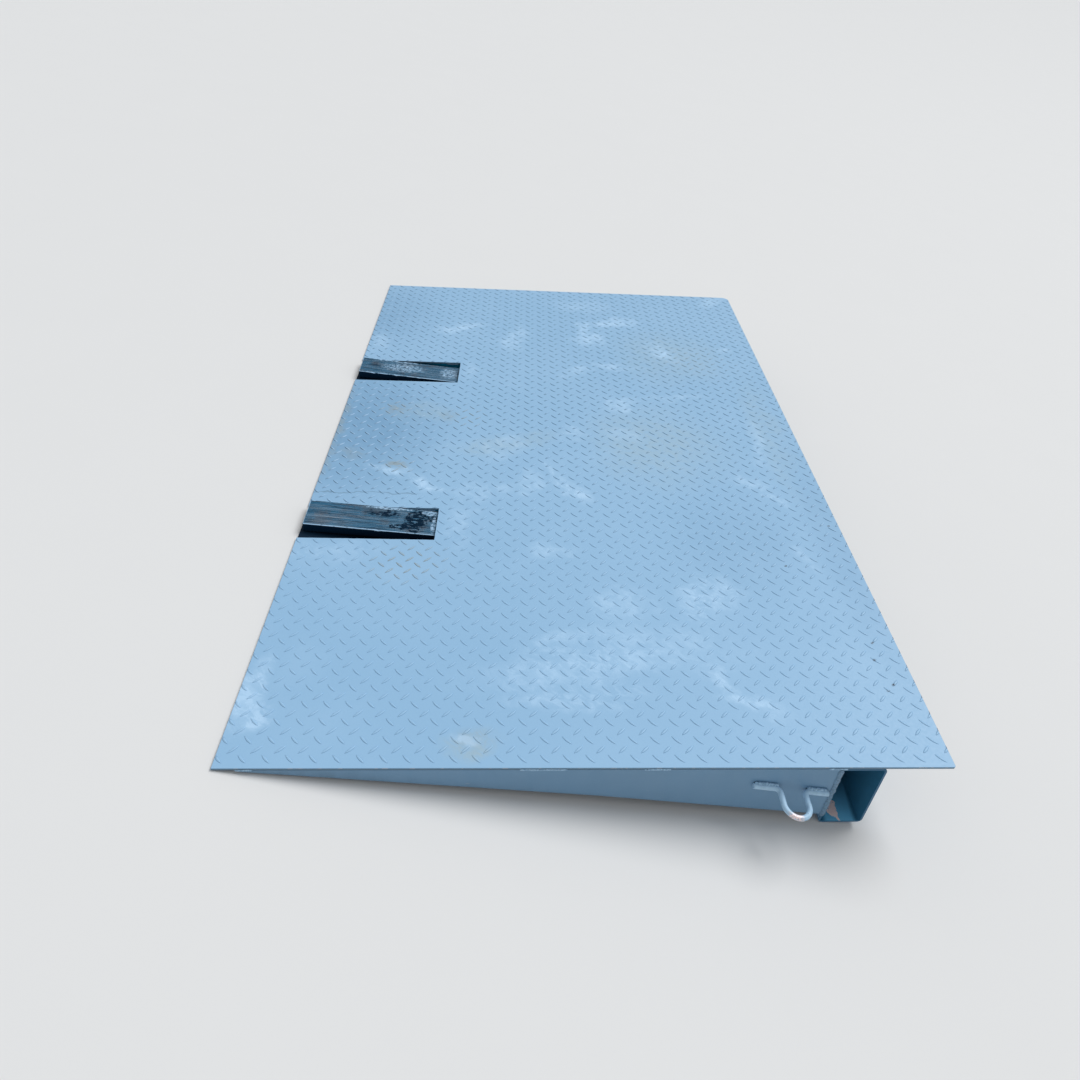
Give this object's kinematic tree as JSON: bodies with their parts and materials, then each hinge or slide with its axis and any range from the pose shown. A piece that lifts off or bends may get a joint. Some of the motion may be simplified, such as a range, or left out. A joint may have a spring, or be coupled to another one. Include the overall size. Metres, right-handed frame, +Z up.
{
  "type": "loading ramp",
  "caption": "Welded steel loading ramp with a sloping tread-plate deck on ribs and a box-section beam, fork slots in its low edge and lashing eyes on its sides.",
  "frame": {"origin": "middle of the bounding box's base, on the ground that the ramp stands on", "axes": "+X along the ground from the low edge towards the high edge, +Y across the ramp, along the beam, +Z up"},
  "size_m": [1.4826, 2.5934, 0.2398],
  "materials": {
    "deck_paint": "light steel-blue paint on tread plate, dusty, satin",
    "frame_paint": "light steel-blue paint on plate and box section, satin, seen in shade",
    "pocket_paint": "dark blue grime over paint, matt",
    "eye_paint": "light steel-blue paint on round bar, worn bare at the nose",
    "weld_paint": "painted weld beads",
    "worn_steel": "bare steel, rubbed bright along the edges, with rust and grime"
  },
  "bodies": {
    "root": {"bar_rest_far": "pocket_paint", "bar_rest_near": "pocket_paint", "corner_weld_far": "weld_paint", "corner_weld_near": "weld_paint", "cross_flat_high": "frame_paint", "cross_flat_low_far": "frame_paint", "cross_flat_low_middle": "frame_paint", "cross_flat_low_near": "frame_paint", "cross_flat_middle": "frame_paint", "deck_plate": "deck_paint", "eye_weld_far_high": "weld_paint", "eye_weld_far_low": "weld_paint", "eye_weld_near_high": "weld_paint", "eye_weld_near_low": "weld_paint", "high_beam": "frame_paint", "lashing_eye_far": "eye_paint", "lashing_eye_near": "eye_paint", "pocket_floor_far": "pocket_paint", "pocket_floor_near": "pocket_paint", "pocket_wall_far_1": "pocket_paint", "pocket_wall_far_2": "pocket_paint", "pocket_wall_near_1": "pocket_paint", "pocket_wall_near_2": "pocket_paint", "rib_1": "frame_paint", "rib_2": "frame_paint", "rib_3": "frame_paint", "rib_4": "frame_paint", "rib_5": "frame_paint", "rib_6": "frame_paint", "rib_7": "frame_paint", "side_plate_far": "frame_paint", "side_plate_near": "frame_paint", "slot_bar_far": "worn_steel", "slot_bar_near": "worn_steel", "stitch_weld_far_1": "weld_paint", "stitch_weld_far_2": "weld_paint", "stitch_weld_far_3": "weld_paint", "stitch_weld_far_4": "weld_paint", "stitch_weld_near_1": "weld_paint", "stitch_weld_near_2": "weld_paint", "stitch_weld_near_3": "weld_paint", "stitch_weld_near_4": "weld_paint"}
  },
  "joints": []
}
